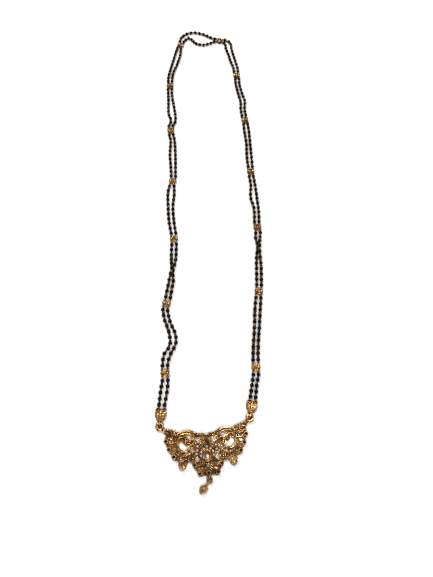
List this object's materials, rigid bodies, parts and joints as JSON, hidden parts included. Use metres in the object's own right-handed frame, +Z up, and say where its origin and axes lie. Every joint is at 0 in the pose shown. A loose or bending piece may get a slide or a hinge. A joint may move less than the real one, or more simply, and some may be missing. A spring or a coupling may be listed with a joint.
{
  "type": "necklace",
  "caption": "Mangalsutra: two linked rows of small black beads held by cast gold spacers, with a pierced crescent pendant set with stones and a small drop, lying flat.",
  "frame": {"origin": "middle of the footprint, on the surface it lies on", "axes": "+Z up, +Y from the pendant along the loop to its far end, +X to the right as the picture shows it"},
  "size_m": [0.0628, 0.3197, 0.0048],
  "materials": {
    "gold": "cast gold coloured alloy, granulated, darker in its recesses",
    "black_bead": "small polished black beads on fine wire links",
    "dark_stone": "cut, polished, almost black",
    "white_stone": "cut, clear to white"
  },
  "bodies": {
    "root": {"pendant": "gold", "left_end_cap": "gold", "right_end_cap": "gold", "outer_bead_row": "black_bead", "inner_bead_row": "black_bead", "drop_ring": "gold", "drop_leaf": "gold", "spacer_01": "gold", "spacer_02": "gold", "spacer_03": "gold", "spacer_04": "gold", "spacer_05": "gold", "spacer_06": "gold", "spacer_07": "gold", "spacer_08": "gold", "spacer_09": "gold", "spacer_10": "gold", "spacer_11": "gold", "spacer_12": "gold", "spacer_13": "gold", "spacer_14": "gold", "dark_stone_01": "dark_stone", "dark_stone_02": "dark_stone", "dark_stone_03": "dark_stone", "dark_stone_04": "dark_stone", "dark_stone_05": "dark_stone", "dark_stone_06": "dark_stone", "dark_stone_07": "dark_stone", "dark_stone_08": "dark_stone", "dark_stone_09": "dark_stone", "dark_stone_10": "dark_stone", "dark_stone_11": "dark_stone", "white_stone_01": "white_stone", "white_stone_02": "white_stone", "white_stone_03": "white_stone", "white_stone_04": "white_stone", "white_stone_05": "white_stone", "white_stone_06": "white_stone", "white_stone_07": "white_stone", "white_stone_08": "white_stone", "white_stone_09": "white_stone", "white_stone_10": "white_stone", "white_stone_11": "white_stone", "white_stone_12": "white_stone", "white_stone_13": "white_stone", "white_stone_14": "white_stone", "white_stone_15": "white_stone", "white_stone_16": "white_stone", "white_stone_17": "white_stone"}
  },
  "joints": []
}
